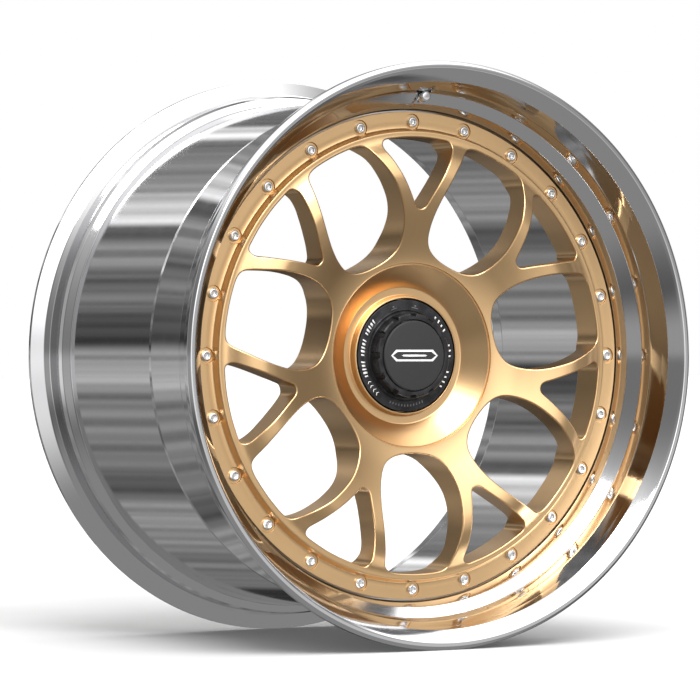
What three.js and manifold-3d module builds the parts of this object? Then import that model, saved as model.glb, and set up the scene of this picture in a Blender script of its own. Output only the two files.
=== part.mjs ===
// A three-piece forged racing wheel: a forked-spoke centre bolted between a polished
// stepped outer lip and a polished inner barrel, with a centre lock and a tyre valve.
//
// Millimetres. The wheel axis runs along Y, the outboard face looks along -Y, +Z is up,
// and the origin is the middle of the rim's box. Profiles are lists of [radius, depth],
// where depth is measured inboard (+Y) from the seat of the assembly bolts.

import * as THREE from 'three';
import { mergeVertices } from 'three/addons/utils/BufferGeometryUtils.js';
import Module from 'manifold-3d';

const wasm = await Module();
wasm.setup();

// ---- Driving dimensions -------------------------------------------------

const FLANGE_RADIUS = 271.3;      // over the tyre flanges: a 20 inch rim
const LIP_DEPTH = 65.4;           // bolt seat to the front of the outer flange
const BARREL_DEPTH = 264;         // bolt seat to the back of the inner flange
const BOLT_SEAT_Y = (LIP_DEPTH - BARREL_DEPTH) / 2;

const BOLT_COUNT = 24;
const BOLT_CIRCLE = 218.4;        // radius of the assembly bolt circle
const BOLT_HOLE = 4.4;
const BOLT_SHANK = 3.4;
const BOLT_HEAD = { radius: 4.9, top: -1.7, chamfer: 0.7 };
const BOLT_RECESS = { radius: 7.2, depth: 1.5 };
const BOLT_END = 25;              // how far inboard of the seat the bolts reach

const SPOKE_COUNT = 7;
const SPOKE_PITCH = (2 * Math.PI) / SPOKE_COUNT;
const WINDOW_END = 203.5;         // where the windows meet the centre's outer ring

const CENTRE_FLANGE = { radius: 228, thickness: 8 };
const SPIGOT_RADIUS = 207.4;
const FLANGE_BORE = 208.2;
const LIP_FLANGE = { front: 8.4, back: 13 };
const BARREL_FLANGE = { front: 13.4, back: 18.4 };

const HUB_FACE_DEPTH = 47;
const HUB_BORE = 42.5;
const DRIVE_PIN_COUNT = 5;
const DRIVE_PIN_CIRCLE = 65;
const DRIVE_BUSH = { outer: 9.2, inner: 7.1, pocket: 10, depth: 17, shy: 0.2 };

const VALVE_RADIUS = 241.4;
const VALVE_HOLE = 4.6;
const VALVE_SEAT = { front: -15, back: -10, frontRadius: 6.6, backRadius: 7.2 };

const GAP = 0.4;                  // left between faces that touch on the real wheel
const RIM_SIDES = 36;             // flats round each large turned piece
const SMALL_SIDES = 20;
const BEYOND = { front: -70, back: 60 };  // depths that clear the centre and the lip

// ---- Materials ----------------------------------------------------------

const metal = (color, roughness, metalness = 1) =>
  new THREE.MeshStandardMaterial({ color, roughness, metalness });

const satinGold = metal(0xb08d5c, 0.32);
const polishedAlloy = metal(0xd2d2d4, 0.08);
const boltSteel = metal(0xe2e2e2, 0.18);
const blackAnodised = metal(0x1c1c1e, 0.42, 0.6);
const capBlack = metal(0x2c2c2c, 0.6, 0);
const darkSteel = metal(0x4a4a4c, 0.35);
const springSteel = metal(0x8c8c90, 0.3);
const sealRubber = metal(0x141414, 0.8, 0);
const sealant = metal(0x8f9092, 0.6, 0);
const chrome = metal(0xececec, 0.06);

// ---- Shape tools --------------------------------------------------------

// Turns a closed [radius, depth] profile round the wheel axis. Radii are across the
// flats of the turned polygon, and a flat looks down so that the wheel stands on it.
function turned(profile, sides = RIM_SIDES) {
  const overFlats = 1 / Math.cos(Math.PI / sides);
  const points = profile.map(([r, y]) => new THREE.Vector2(r * overFlats, y));
  if (THREE.ShapeUtils.area(points) < 0) points.reverse();
  points.push(points[0].clone());
  return new THREE.LatheGeometry(points, sides, Math.PI / sides);
}

// As turned, for a profile whose two ends lie on the axis.
function turnedSolid(profile, sides = SMALL_SIDES) {
  const points = profile.map(([r, y]) => new THREE.Vector2(r, y));
  return new THREE.LatheGeometry(points, sides, Math.PI / sides);
}

// Extrudes an outline drawn as seen from outboard, from depth y0 to depth y1.
function through(shape, y0, y1, curveSegments) {
  const options = { depth: y1 - y0, bevelEnabled: false, curveSegments };
  const geometry = new THREE.ExtrudeGeometry(shape, options);
  return geometry.rotateX(Math.PI / 2).translate(0, y1, 0);
}

function toSolid(geometry) {
  const bare = geometry.clone();
  bare.deleteAttribute('normal');
  bare.deleteAttribute('uv');
  const merged = mergeVertices(bare, 1e-4);
  return new wasm.Manifold(new wasm.Mesh({
    numProp: 3,
    vertProperties: new Float32Array(merged.attributes.position.array),
    triVerts: new Uint32Array(merged.index.array),
  }));
}

function toGeometry(solid) {
  const mesh = solid.getMesh();
  const geometry = new THREE.BufferGeometry();
  geometry.setAttribute('position', new THREE.BufferAttribute(mesh.vertProperties, 3));
  geometry.setIndex(new THREE.BufferAttribute(mesh.triVerts, 1));
  return geometry;
}

function cut(solid, tools) {
  return tools.reduce((rest, tool) => rest.subtract(toSolid(tool)), solid);
}

// Turns a shape made at twelve o'clock to an angle, clockwise as seen from outboard.
const turnedTo = (geometry, angle) => geometry.clone().rotateY(angle);

// A straight hole along the axis at a radius, as a many-sided prism.
function holeAt(radius, angle, size, y0, y1, sides = 6) {
  const outline = new THREE.Shape();
  outline.absarc(0, radius, size, 0, 2 * Math.PI);
  return turnedTo(through(outline, y0, y1, sides), angle);
}

const aroundBolts = (make) =>
  Array.from({ length: BOLT_COUNT }, (_, i) => make((i * 2 * Math.PI) / BOLT_COUNT, i));

const wheel = new THREE.Group();
const atBoltSeat = new THREE.Group();
atBoltSeat.position.y = BOLT_SEAT_Y;
wheel.add(atBoltSeat);

function addPiece(name, geometry, material) {
  const mesh = new THREE.Mesh(geometry, material);
  mesh.name = name;
  atBoltSeat.add(mesh);
  return mesh;
}

// ---- Wheel centre -------------------------------------------------------

// The outboard faces of the spokes arch forward between hub and ring; the inboard side
// is a thick hub pad that thins to slim arms, and a spigot that locates both rim halves.
const centreProfile = [
  [HUB_BORE, HUB_FACE_DEPTH], [HUB_BORE, 36], [52, 26.5], [53.6, 26.5], [53.6, 11.8],
  [56.8, 11], [58.4, 18], [64, 18.4], [85.3, 1.5], [86.2, 0], [97, -1.8], [114, -7.2],
  [132, -13.8], [150, -19.2], [168, -21.4], [184, -17.8], [195, -12.2],
  [WINDOW_END, -8.2], [209.4, -9.2], [211, -1], [212, 0],
  [CENTRE_FLANGE.radius, 0], [CENTRE_FLANGE.radius, CENTRE_FLANGE.thickness],
  [SPIGOT_RADIUS, CENTRE_FLANGE.thickness], [SPIGOT_RADIUS, 27], [201, 27],
  [189, 8.4], [170, 6], [150, 8.6], [134, 17], [108, 42], [96, HUB_FACE_DEPTH],
];

// Outline of the wide window between two spokes, drawn at twelve o'clock: a hub end
// concentric with the bore, full round corners, bulging sides and a ring end.
function wideWindow() {
  const shape = new THREE.Shape();
  shape.moveTo(0, 92);
  shape.quadraticCurveTo(14, 92, 27.3, 97.2);
  shape.quadraticCurveTo(43, 112, 43.1, 143.7);
  shape.quadraticCurveTo(43.1, 168, 35.9, 193.5);
  shape.quadraticCurveTo(34.4, 200.5, 27, 201.7);
  shape.quadraticCurveTo(0, WINDOW_END + 1.8, -27, 201.7);
  shape.quadraticCurveTo(-34.4, 200.5, -35.9, 193.5);
  shape.quadraticCurveTo(-43.1, 168, -43.1, 143.7);
  shape.quadraticCurveTo(-43, 112, -27.3, 97.2);
  shape.quadraticCurveTo(-14, 92, 0, 92);
  return shape;
}

// Outline of the narrow window inside each fork: a small round at the crotch, nearly
// straight arms and rounded corners at the ring.
function forkWindow() {
  const shape = new THREE.Shape();
  shape.moveTo(-5.4, 140);
  shape.quadraticCurveTo(0, 134, 5.4, 140);
  shape.quadraticCurveTo(16.8, 158, 36.4, 192);
  shape.quadraticCurveTo(38, 199.8, 31, 201);
  shape.quadraticCurveTo(0, WINDOW_END + 2, -31, 201);
  shape.quadraticCurveTo(-38, 199.8, -36.4, 192);
  shape.quadraticCurveTo(-16.8, 158, -5.4, 140);
  return shape;
}

function wheelCentre() {
  const wide = through(wideWindow(), BEYOND.front, BEYOND.back, 3);
  const fork = through(forkWindow(), BEYOND.front, BEYOND.back, 3);
  const tools = [];
  for (let i = 0; i < SPOKE_COUNT; i += 1) {
    tools.push(turnedTo(fork, i * SPOKE_PITCH));
    tools.push(turnedTo(wide, (i + 0.5) * SPOKE_PITCH));
  }
  aroundBolts((angle) => {
    tools.push(holeAt(BOLT_CIRCLE, angle, BOLT_HOLE, BEYOND.front, BEYOND.back));
    const { radius, depth } = BOLT_RECESS;
    tools.push(holeAt(BOLT_CIRCLE, angle, radius, BEYOND.front, depth, 8));
  });
  for (let i = 0; i < DRIVE_PIN_COUNT; i += 1) {
    const angle = (i * 2 * Math.PI) / DRIVE_PIN_COUNT;
    const floor = HUB_FACE_DEPTH - DRIVE_BUSH.depth;
    tools.push(holeAt(DRIVE_PIN_CIRCLE, angle, DRIVE_BUSH.pocket, floor, BEYOND.back, 12));
  }
  return toGeometry(cut(toSolid(turned(centreProfile)), tools));
}

// ---- Rim halves and the seal between them -------------------------------

const lipProfile = [
  [FLANGE_BORE, LIP_FLANGE.front], [FLANGE_BORE, LIP_FLANGE.back],
  [234.2, LIP_FLANGE.back], [234.2, 3], [245, -9], [251, -11], [254.6, -15],
  [253.4, -22], [253, -29], [254.4, -46], [258, -52], [FLANGE_RADIUS, -57],
  [FLANGE_RADIUS, -62], [269, -LIP_DEPTH], [264.8, -LIP_DEPTH], [253, -54],
  [250.9, -46.5], [246.6, -34], [244.8, -21], [234.2, -12], [229.6, 0],
  [229.6, LIP_FLANGE.front],
];

const barrelProfile = [
  [FLANGE_BORE, BARREL_FLANGE.front], [229.4, BARREL_FLANGE.front], [229.4, 24],
  [240.6, 66], [239.8, 72], [246, 222], [253, 226.5], [255, 231], [253, 238],
  [254.4, 250], [258, 255], [FLANGE_RADIUS, 259], [FLANGE_RADIUS, 262],
  [269.6, BARREL_DEPTH], [263, BARREL_DEPTH], [251, 255],
  [249, 231], [242.4, 225], [236, 70], [226.6, 28],
  [226.2, BARREL_FLANGE.back], [FLANGE_BORE, BARREL_FLANGE.back],
];

function rimHalf(profile, holeStart, holeEnd, extraHoles = []) {
  const holes = aroundBolts((angle) =>
    holeAt(BOLT_CIRCLE, angle, BOLT_HOLE, holeStart, holeEnd));
  return toGeometry(cut(toSolid(turned(profile)), [...holes, ...extraHoles]));
}

// The valve stands in a hole between two flat seats sunk in the lip's slanted step.
function valveHoles() {
  const { front, back, frontRadius, backRadius } = VALVE_SEAT;
  return [
    holeAt(VALVE_RADIUS, 0, VALVE_HOLE, BEYOND.front, BEYOND.back),
    holeAt(VALVE_RADIUS, 0, frontRadius, BEYOND.front, front, 12),
    holeAt(VALVE_RADIUS, 0, backRadius, back, BEYOND.back, 12),
  ];
}

addPiece('wheel_centre', wheelCentre(), satinGold);
addPiece('outer_lip', rimHalf(lipProfile, 5, 16, valveHoles()), polishedAlloy);
addPiece('inner_barrel', rimHalf(barrelProfile, 10, 22), polishedAlloy);
addPiece('joint_seal', turned([
  [229.4 + GAP, BARREL_FLANGE.front], [234, BARREL_FLANGE.front],
  [231, 18], [229.4 + GAP, 21],
]), sealant);

// ---- Assembly bolts -----------------------------------------------------

// A round-headed screw, its head sunk in the flange and its tip past the barrel's flange.
function assemblyBolt() {
  const { radius, top, chamfer } = BOLT_HEAD;
  const underHead = BOLT_RECESS.depth - GAP;
  return turnedSolid([
    [0, top], [radius - chamfer, top], [radius, top + chamfer], [radius, underHead],
    [BOLT_SHANK, underHead], [BOLT_SHANK, BOLT_END], [0, BOLT_END],
  ], 8);
}

const boltGeometry = assemblyBolt();
aroundBolts((angle, i) => {
  const name = `assembly_bolt_${String(i + 1).padStart(2, '0')}`;
  const bolt = addPiece(name, boltGeometry, boltSteel);
  bolt.position.set(BOLT_CIRCLE * Math.sin(angle), 0, BOLT_CIRCLE * Math.cos(angle));
});

// ---- Drive bushes in the hub face ---------------------------------------

function driveBush() {
  const { outer, inner, depth, shy } = DRIVE_BUSH;
  const floor = HUB_FACE_DEPTH - depth + GAP;
  const mouth = HUB_FACE_DEPTH - shy;
  return turned([[inner, floor], [outer, floor], [outer, mouth], [inner, mouth]], 10);
}

const bushGeometry = driveBush();
for (let i = 0; i < DRIVE_PIN_COUNT; i += 1) {
  const angle = (i * 2 * Math.PI) / DRIVE_PIN_COUNT;
  const bush = addPiece(`drive_bush_${i + 1}`, bushGeometry, darkSteel);
  bush.position.set(DRIVE_PIN_CIRCLE * Math.sin(angle), 0, DRIVE_PIN_CIRCLE * Math.cos(angle));
}

// ---- Centre lock --------------------------------------------------------

// Taper washer on the 45 degree seat of the centre's bore.
addPiece('thrust_ring', turned([
  [41.2, 24.4], [51, 24.4], [51, 26.9], [43.5, 34.4], [41.2, 34.4],
]), darkSteel);

// The nut: a wide marked collar, a castellated drum in front, and a threaded tube
// behind. Its bore steps down for the cap, the lock sleeve and the spring seat.
const NUT = { collar: 52.6, drum: 39.6, tube: 40.4, thread: 34, cap: 33.6, sleeve: 31 };
const CASTELLATIONS = 12;
const SLOT = { width: 6, from: -2.6, to: 6.4, bite: 2 };

function centreNut() {
  const body = toSolid(turned([
    [NUT.thread, 44], [NUT.tube, 44], [NUT.tube, 24], [NUT.collar, 24],
    [NUT.collar, 11], [NUT.drum, 11], [NUT.drum, -1.6], [38.6, -2.6],
    [NUT.cap, -2.6], [NUT.cap, 3.4], [NUT.sleeve, 3.4], [NUT.sleeve, 27],
    [26.6, 27], [26.6, 30], [NUT.thread, 30],
  ], 2 * CASTELLATIONS));
  const high = SLOT.bite + 1;
  const slot = new THREE.BoxGeometry(SLOT.width, SLOT.to - SLOT.from, high)
    .translate(0, (SLOT.from + SLOT.to) / 2, NUT.drum - SLOT.bite + high / 2);
  const slots = Array.from({ length: CASTELLATIONS }, (_, i) =>
    turnedTo(slot, (i * 2 * Math.PI) / CASTELLATIONS));
  return toGeometry(cut(body, slots));
}
addPiece('centre_nut', centreNut(), blackAnodised);

const SLEEVE = { outer: 30.4, inner: 23, front: 4.4, shoulder: 12.4, travel: 6 };
addPiece('lock_sleeve', turned([
  [SLEEVE.inner, SLEEVE.front], [SLEEVE.outer, SLEEVE.front],
  [SLEEVE.outer, SLEEVE.shoulder], [25.4, SLEEVE.shoulder],
  [25.4, 15], [SLEEVE.inner, 15],
], SMALL_SIDES), darkSteel);

// Spring drawn at its pressed length, which leaves the sleeve its travel.
class Helix extends THREE.Curve {
  constructor(radius, turns, start, end) {
    super();
    Object.assign(this, { radius, turns, start, end });
  }

  getPoint(t, target = new THREE.Vector3()) {
    const a = 2 * Math.PI * this.turns * t;
    const y = THREE.MathUtils.lerp(this.start, this.end, t);
    return target.set(this.radius * Math.sin(a), y, this.radius * Math.cos(a));
  }
}

const SPRING = { radius: 28.7, wire: 0.9, turns: 2, end: 25.6 };

function lockSpring() {
  const wire = new THREE.Shape();
  wire.absarc(0, 0, SPRING.wire, 0, 2 * Math.PI);
  const start = SLEEVE.shoulder + SLEEVE.travel + SPRING.wire + 0.7;
  const path = new Helix(SPRING.radius, SPRING.turns, start, SPRING.end);
  const options = { steps: 28, extrudePath: path, curveSegments: 5 };
  return new THREE.ExtrudeGeometry(wire, options);
}
addPiece('lock_spring', lockSpring(), springSteel);

addPiece('retaining_ring', turned([
  [29.4, 1.8], [33, 1.8], [33, 3], [29.4, 3],
], SMALL_SIDES), springSteel);

// Round cap pressed into the mouth of the drum, with a groove for its rubber ring.
addPiece('centre_cap', turnedSolid([
  [0, -4], [31.8, -4], [32.8, -3.2], [32.8, -1.6], [31, -1.6], [31, 0], [32.6, 0],
  [32.6, 1], [28.6, 1], [28.6, -1], [0, -1],
], SMALL_SIDES), capBlack);
addPiece('cap_o_ring', turned([
  [31.4, -1.3], [32.9, -1.3], [32.9, -0.3], [31.4, -0.3],
], SMALL_SIDES), sealRubber);

// ---- Valve --------------------------------------------------------------

function addValvePiece(name, geometry, material) {
  addPiece(name, geometry, material).position.z = VALVE_RADIUS;
}

const STEM = { radius: 4, bore: 1.9, base: 6.4, seat: VALVE_SEAT.back + 2.6 };
addValvePiece('valve_stem', turned([
  [STEM.bore, -21.5], [STEM.radius - 0.8, -21.5], [STEM.radius, -20.8],
  [STEM.radius, STEM.seat], [STEM.base, STEM.seat], [STEM.base, -4.6], [STEM.bore, -4.6],
], 12), chrome);
addValvePiece('valve_gasket', turned([
  [STEM.radius + 0.3, VALVE_SEAT.back + 0.35], [5.8, VALVE_SEAT.back + 0.35],
  [5.8, STEM.seat - 0.35], [STEM.radius + 0.3, STEM.seat - 0.35],
], 12), sealRubber);
addValvePiece('valve_nut', turned([
  [STEM.radius + 0.35, -17.6], [5.6, -17.6], [6.1, -17], [6.1, VALVE_SEAT.front - 0.35],
  [STEM.radius + 0.35, VALVE_SEAT.front - 0.35],
], 12), chrome);
addValvePiece('valve_core', turned([
  [0.95, -20.6], [1.55, -20.6], [1.55, -9], [0.95, -9],
], 10), boltSteel);
addValvePiece('valve_pin', turnedSolid([
  [0, -21.2], [0.55, -21.2], [0.55, -7], [0, -7],
], 8), boltSteel);
addValvePiece('valve_cap', turnedSolid([
  [0, -25.6], [3.6, -25.6], [5.2, -24.4], [5.4, -18], [4.35, -18], [4.35, -23.6], [0, -23.6],
], 12), chrome);
addValvePiece('cap_seal', turned([
  [2.4, -23.2], [4, -23.2], [4, -22], [2.4, -22],
], 10), sealRubber);

export default wheel;
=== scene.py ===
"""A three-piece forged racing wheel in fine surfaces, with its finishes, floor and light.

Run inside Blender after the CAD model is packed. The wheel's axis runs along Y, its outboard
face looks along -Y and +Z is up. Sections are drawn in millimetres as (radius, depth, corner
radius), with depth counted inboard from the plane that the assembly bolts clamp on.
"""

import math

import bmesh
import bpy
import numpy as np
from bpy.props import (
    FloatProperty,
    FloatVectorProperty,
    IntProperty,
    PointerProperty,
)
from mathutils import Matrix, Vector
from mathutils.geometry import delaunay_2d_cdt


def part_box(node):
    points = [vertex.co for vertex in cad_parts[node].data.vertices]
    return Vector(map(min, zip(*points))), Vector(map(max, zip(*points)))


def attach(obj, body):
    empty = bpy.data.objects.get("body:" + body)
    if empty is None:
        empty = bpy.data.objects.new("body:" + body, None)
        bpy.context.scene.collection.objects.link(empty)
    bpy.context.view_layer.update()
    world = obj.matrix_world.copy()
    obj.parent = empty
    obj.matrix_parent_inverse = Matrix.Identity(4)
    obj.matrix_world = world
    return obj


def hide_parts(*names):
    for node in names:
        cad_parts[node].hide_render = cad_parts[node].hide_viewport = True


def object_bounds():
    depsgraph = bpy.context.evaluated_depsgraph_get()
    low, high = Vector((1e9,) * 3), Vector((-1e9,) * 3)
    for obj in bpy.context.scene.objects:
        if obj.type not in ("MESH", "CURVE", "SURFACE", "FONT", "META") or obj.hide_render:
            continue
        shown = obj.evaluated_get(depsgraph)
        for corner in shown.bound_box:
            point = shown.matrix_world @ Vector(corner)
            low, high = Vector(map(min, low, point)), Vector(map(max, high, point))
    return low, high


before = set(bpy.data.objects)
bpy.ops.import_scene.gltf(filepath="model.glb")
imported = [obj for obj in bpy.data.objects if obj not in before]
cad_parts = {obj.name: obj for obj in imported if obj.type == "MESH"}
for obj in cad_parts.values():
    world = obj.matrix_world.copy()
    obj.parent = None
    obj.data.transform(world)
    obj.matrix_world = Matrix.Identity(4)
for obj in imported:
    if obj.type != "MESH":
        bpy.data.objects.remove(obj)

bl_info = {
    "name": "Forged Racing Wheel",
    "version": (1, 0, 0),
    "blender": (4, 5, 0),
    "location": "View3D > Sidebar > Wheel",
    "description": "Builds the fine surfaces and finishes of a three-piece forged wheel",
    "category": "Object",
}

MM = 0.001
HUB_FACE_DEPTH = 47.0
CAD_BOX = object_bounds()
SEAT_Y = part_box("wheel_centre")[1].y - HUB_FACE_DEPTH * MM
WHEEL_CENTRE_Z = (CAD_BOX[0].z + CAD_BOX[1].z) / 2
FLOOR_Z = CAD_BOX[0].z
TURN = 2 * math.pi
BOLTS = 24
SPOKES = 7
DRIVE_PINS = 5
DRIVE_PIN_CIRCLE = 65.0
DRIVE_POCKET_DEPTH = 17.0
SLOTS_IN_NUT = 12


# ---- Curves and sections -------------------------------------------------


def corner_arcs(section, step_deg=15.0):
    """Rounds every corner of a closed section by an arc that touches both of its sides.

    An arc of radius q starts q / tan(half the corner's angle) from the corner, and its centre
    lies on the corner's bisector. Returns the points and their outward directions.
    """
    data = np.array(section, float)
    r, y = data[:, 0], data[:, 1]
    if np.sum(r * np.roll(y, -1) - np.roll(r, -1) * y) < 0:
        data = data[::-1]
    corner, size = data[:, :2], data[:, 2]
    back = np.roll(corner, 1, axis=0) - corner
    ahead = np.roll(corner, -1, axis=0) - corner
    back_len = np.linalg.norm(back, axis=1)
    ahead_len = np.linalg.norm(ahead, axis=1)
    back /= back_len[:, None]
    ahead /= ahead_len[:, None]
    half = 0.5 * np.arccos(np.clip(np.sum(back * ahead, axis=1), -1, 1))
    reach = np.minimum(size / np.tan(half), 0.49 * np.minimum(back_len, ahead_len))
    radius = reach * np.tan(half)
    start = np.column_stack([-back[:, 1], back[:, 0]])
    end = np.column_stack([ahead[:, 1], -ahead[:, 0]])
    turn = np.arctan2(start[:, 0] * end[:, 1] - start[:, 1] * end[:, 0],
                      np.sum(start * end, axis=1))
    points, outward = [], []
    for i in range(len(corner)):
        if size[i] <= 0:
            points.append(corner[i][None])
            outward.append(start[i][None])
            continue
        count = max(2, int(math.ceil(abs(math.degrees(turn[i])) / step_deg)) + 1)
        a = np.linspace(0, turn[i], count)
        n = np.column_stack([
            start[i, 0] * np.cos(a) - start[i, 1] * np.sin(a),
            start[i, 0] * np.sin(a) + start[i, 1] * np.cos(a),
        ])
        bisector = back[i] + ahead[i]
        centre = corner[i] + bisector / np.linalg.norm(bisector) * radius[i] / math.sin(half[i])
        points.append(centre + math.copysign(radius[i], turn[i]) * n)
        outward.append(n)
    return np.concatenate(points), np.concatenate(outward)


def closed_spline(points, count):
    """A smooth closed line through points: between two of them, the cubic whose ends have
    the slopes that make curvature continuous all round. Returns count points, evenly spaced."""
    p = np.array(points, float)
    n = len(p)
    gap = np.linalg.norm(np.roll(p, -1, axis=0) - p, axis=1) ** 0.5
    before = np.roll(gap, 1)
    system = np.zeros((n, n))
    i = np.arange(n)
    system[i, (i - 1) % n] = gap
    system[i, i] = 2 * (gap + before)
    system[i, (i + 1) % n] = before
    rise = (np.roll(p, -1, axis=0) - p) / gap[:, None]
    slope = np.linalg.solve(system, 3 * (gap[:, None] * np.roll(rise, 1, axis=0)
                                         + before[:, None] * rise))
    t = np.linspace(0, 1, 60, endpoint=False)[None, :, None]
    a, b = p[:, None], np.roll(p, -1, axis=0)[:, None]
    sa = (slope * gap[:, None])[:, None]
    sb = (np.roll(slope, -1, axis=0) * gap[:, None])[:, None]
    dense = ((2 * t**3 - 3 * t**2 + 1) * a + (t**3 - 2 * t**2 + t) * sa
             + (3 * t**2 - 2 * t**3) * b + (t**3 - t**2) * sb).reshape(-1, 2)
    dense = np.vstack([dense, dense[:1]])
    run = np.concatenate([[0], np.cumsum(np.linalg.norm(np.diff(dense, axis=0), axis=1))])
    at = np.linspace(0, run[-1], count, endpoint=False)
    return np.column_stack([np.interp(at, run, dense[:, 0]), np.interp(at, run, dense[:, 1])])


def height_curve(knots, radius):
    """Depth over radius through knots, by cubics with the mean slope of each knot's
    neighbours. Returns the depth and its slope."""
    x, y = np.array(knots, float).T
    m = np.gradient(y, x)
    k = np.clip(np.searchsorted(x, radius) - 1, 0, len(x) - 2)
    h = x[k + 1] - x[k]
    t = np.clip((radius - x[k]) / h, 0, 1)
    value = ((2 * t**3 - 3 * t**2 + 1) * y[k] + (t**3 - 2 * t**2 + t) * h * m[k]
             + (3 * t**2 - 2 * t**3) * y[k + 1] + (t**3 - t**2) * h * m[k + 1])
    slope = ((6 * t**2 - 6 * t) * (y[k] - y[k + 1]) / h
             + (3 * t**2 - 4 * t + 1) * m[k] + (3 * t**2 - 2 * t) * m[k + 1])
    return value, slope


def turned_by(points, angle):
    """Plane points (across, up) turned clockwise, as seen from outboard, by angle."""
    c, s = math.cos(angle), math.sin(angle)
    return np.column_stack([points[:, 0] * c + points[:, 1] * s,
                            points[:, 1] * c - points[:, 0] * s])


def in_space(plane, depth):
    """Plane points (across, up) and their depths as points of the wheel, in metres."""
    return np.column_stack([plane[:, 0] * MM, np.broadcast_to(depth, len(plane)) * MM + SEAT_Y,
                            plane[:, 1] * MM + WHEEL_CENTRE_Z])


# ---- Surfaces ------------------------------------------------------------


def grid_faces(rows, columns, rows_close=False, columns_close=True):
    """Two triangles for each cell of a grid of points numbered row by row."""
    i = np.arange(rows if rows_close else rows - 1)[:, None]
    j = np.arange(columns if columns_close else columns - 1)[None, :]
    a = i * columns + j
    b = i * columns + (j + 1) % columns
    c = ((i + 1) % rows) * columns + (j + 1) % columns
    d = ((i + 1) % rows) * columns + j
    return np.concatenate([np.stack([a, b, c], -1).reshape(-1, 3),
                           np.stack([a, c, d], -1).reshape(-1, 3)])


def ring_of(points, outward, angles, closed):
    """Turns section points about the wheel's axis: (r, y) at angle a goes to
    (r sin a, y, r cos a), and its outward direction turns with it."""
    s, c = np.sin(angles)[None, :], np.cos(angles)[None, :]
    r, y = points[:, :1], points[:, 1:]
    place = np.stack([r * s * MM, y * MM + SEAT_Y + 0 * s, r * c * MM + WHEEL_CENTRE_Z], -1)
    nr, ny = outward[:, :1], outward[:, 1:]
    normal = np.stack([nr * s, ny + 0 * s, nr * c], -1)
    on_axis = np.broadcast_to(r < 1e-6, normal.shape[:2])
    normal[on_axis] = np.stack([0 * ny, np.sign(ny), 0 * ny], -1).repeat(len(angles), 1)[on_axis]
    faces = grid_faces(len(points), len(angles), rows_close=closed)
    return place.reshape(-1, 3), faces, normal.reshape(-1, 3)


def joined(parts, grain=1e-7):
    """One surface from several (points, faces, normals): points that coincide become one,
    empty triangles go, and each triangle is wound so that it faces along its normals."""
    offset = np.cumsum([0] + [len(p[0]) for p in parts[:-1]])
    points = np.concatenate([p[0] for p in parts])
    faces = np.concatenate([p[1] + k for p, k in zip(parts, offset)])
    normals = np.concatenate([p[2] for p in parts])
    _, first, same = np.unique(np.round(points / grain).astype(np.int64), axis=0,
                               return_index=True, return_inverse=True)
    same = same.reshape(-1)
    total = np.zeros((len(first), 3))
    np.add.at(total, same, normals)
    total /= np.maximum(np.linalg.norm(total, axis=1), 1e-9)[:, None]
    points, faces = points[first], same[faces]
    whole = ((faces[:, 0] != faces[:, 1]) & (faces[:, 1] != faces[:, 2])
             & (faces[:, 0] != faces[:, 2]))
    faces = faces[whole]
    a, b, c = (points[faces[:, k]] for k in range(3))
    wrong = np.sum(np.cross(b - a, c - a) * total[faces].sum(1), axis=1) < 0
    faces[wrong] = faces[wrong][:, ::-1]
    return points, faces, total


def add_piece(name, surface, finish, body, replaced=(), sharp_deg=None):
    """Makes a mesh object of a surface, gives it a finish and lets it ride on a CAD body.

    With sharp_deg the shading breaks at edges sharper than that; without it the surface's
    own normals are kept.
    """
    points, faces, normals = surface
    mesh = bpy.data.meshes.new(name)
    mesh.from_pydata(points, [], faces)
    mesh.shade_smooth()
    if sharp_deg is None:
        mesh.normals_split_custom_set_from_vertices(normals.astype(np.float32))
    else:
        mesh.set_sharp_from_angle(angle=math.radians(sharp_deg))
    mesh.update()
    piece = bpy.data.objects.new(name, mesh)
    bpy.context.scene.collection.objects.link(piece)
    mesh.materials.append(finish)
    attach(piece, body)
    if replaced:
        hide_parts(*replaced)
    return piece


def turned_surface(section, segments, step_deg=15.0):
    """A closed section with rounded corners, turned about the wheel's axis."""
    points, outward = corner_arcs(section, step_deg)
    angles = np.arange(segments) * TURN / segments
    return joined([ring_of(points, outward, angles, closed=True)])


def small_turned(section, segments, centre, shape=None, step_deg=30.0):
    """A small turned piece about its own axis through centre (across, up).

    shape(r, y, a) may return new radii and depths, for flats, sockets, slots and knurls.
    """
    points, outward = corner_arcs(section, step_deg)
    a = np.arange(segments)[None, :] * TURN / segments
    r = np.broadcast_to(points[:, :1], (len(points), segments))
    y = np.broadcast_to(points[:, 1:], (len(points), segments))
    if shape is not None:
        r, y = shape(r, y, a)
    place = np.stack([(centre[0] + r * np.sin(a)) * MM, y * MM + SEAT_Y,
                      (centre[1] + r * np.cos(a)) * MM + WHEEL_CENTRE_Z], -1)
    nr, ny = outward[:, :1], outward[:, 1:]
    normal = np.stack([nr * np.sin(a), ny + 0 * a, nr * np.cos(a)], -1)
    faces = grid_faces(len(points), segments, rows_close=True)
    return joined([(place.reshape(-1, 3), faces, normal.reshape(-1, 3))], grain=2e-7)


def flats(angle, count):
    """How far a regular polygon's side lies from its centre, against its corners: the
    cosine of half a side's angle over the cosine of the angle from the side's middle."""
    part = TURN / count
    return math.cos(part / 2) / np.cos((angle % part) - part / 2)


def triangulated(points, edges):
    """Triangles over plane points that keep the given edges."""
    places, _, faces, *_ = delaunay_2d_cdt(points.tolist(), edges.tolist(), [], 0, 1e-6)
    if len(places) != len(points):
        raise RuntimeError("two outline points coincide, so the face can't be filled")
    return np.array(faces, int).reshape(-1, 3)


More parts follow.
